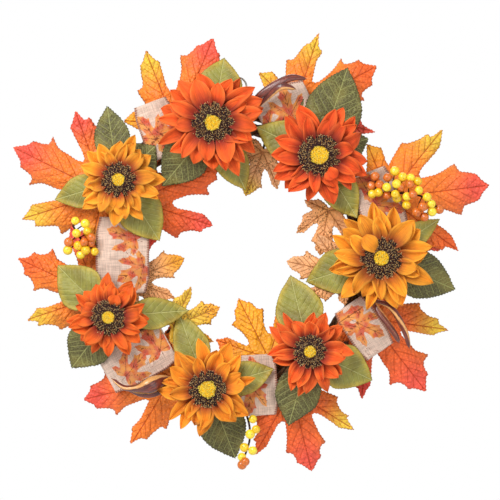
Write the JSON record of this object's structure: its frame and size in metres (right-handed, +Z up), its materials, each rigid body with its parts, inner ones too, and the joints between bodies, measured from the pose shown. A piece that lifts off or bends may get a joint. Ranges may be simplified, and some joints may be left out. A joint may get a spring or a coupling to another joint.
{
  "type": "harvest door wreath",
  "caption": "Round autumn door wreath of artificial sunflowers, maple leaves, green leaves, burlap ribbon, pods and berries on a vine ring with a wire hanging eye.",
  "frame": {"origin": "top of the inside of the hanger's eye, where a door hook bears", "axes": "+Z up as it hangs, front faces -Y towards the room, +X to the viewer's right"},
  "size_m": [0.5615, 0.0923, 0.516],
  "materials": {
    "hanger_wire": "dull annealed wire",
    "grapevine": "matt bark",
    "vine_binding": "matt bark",
    "maple_leaf": "matt embossed polyester",
    "small_maple_leaf": "matt embossed polyester",
    "green_leaf": "matt embossed polyester",
    "gold_petal": "matt polyester",
    "orange_petal": "matt polyester",
    "seed_head": "coarse flock",
    "burlap_ribbon": "open plain weave",
    "seed_pod": "satin, striped",
    "berry": "gloss"
  },
  "bodies": {
    "hanger": {"wire_hanger": "hanger_wire"},
    "wreath": {"vine_strand_1": "grapevine", "vine_strand_2": "grapevine", "vine_strand_3": "grapevine", "vine_strand_4": "grapevine", "vine_binding_left": "vine_binding", "vine_binding_right": "vine_binding", "vine_binding_bottom": "vine_binding", "maple_left_upper": "maple_leaf", "maple_top_left": "maple_leaf", "maple_top_right": "maple_leaf", "maple_right_upper": "maple_leaf", "maple_right_side": "maple_leaf", "maple_right_lower": "maple_leaf", "maple_bottom": "maple_leaf", "maple_left_lower": "maple_leaf", "maple_left_side": "maple_leaf", "maple_inner_bottom": "small_maple_leaf", "maple_inner_upper_left": "small_maple_leaf", "maple_inner_left": "small_maple_leaf", "maple_inner_lower_left": "small_maple_leaf", "maple_inner_right": "small_maple_leaf", "maple_inner_lower_right": "small_maple_leaf", "maple_inner_top": "small_maple_leaf", "leaf_sprig_upper_left": "green_leaf", "sunflower_upper_left_petals": "gold_petal", "sunflower_upper_left_seed_head": "seed_head", "leaf_sprig_top": "green_leaf", "sunflower_top_petals": "orange_petal", "sunflower_top_seed_head": "seed_head", "leaf_sprig_upper_right": "green_leaf", "sunflower_upper_right_petals": "orange_petal", "sunflower_upper_right_seed_head": "seed_head", "leaf_sprig_right": "green_leaf", "sunflower_right_petals": "gold_petal", "sunflower_right_seed_head": "seed_head", "leaf_sprig_lower_right": "green_leaf", "sunflower_lower_right_petals": "orange_petal", "sunflower_lower_right_seed_head": "seed_head", "leaf_sprig_bottom": "green_leaf", "sunflower_bottom_petals": "gold_petal", "sunflower_bottom_seed_head": "seed_head", "leaf_sprig_lower_left": "green_leaf", "sunflower_lower_left_petals": "orange_petal", "sunflower_lower_left_seed_head": "seed_head", "ribbon_upper_left": "burlap_ribbon", "ribbon_left": "burlap_ribbon", "ribbon_lower_left": "burlap_ribbon", "ribbon_bottom": "burlap_ribbon", "ribbon_lower_right": "burlap_ribbon", "ribbon_upper_right": "burlap_ribbon", "ribbon_top": "burlap_ribbon", "pods_top": "seed_pod", "pods_lower_left": "seed_pod", "pods_lower_right": "seed_pod", "berry_spray_right": "berry", "berry_spray_left": "berry", "berry_spray_bottom": "berry"}
  },
  "joints": [
    {"name": "wreath_swing", "type": "hinge", "parent": "hanger", "child": "wreath", "pos_m": [0, 0, -0.0508], "axis": [-1, 0, 0], "range_deg": [0, 15]}
  ]
}
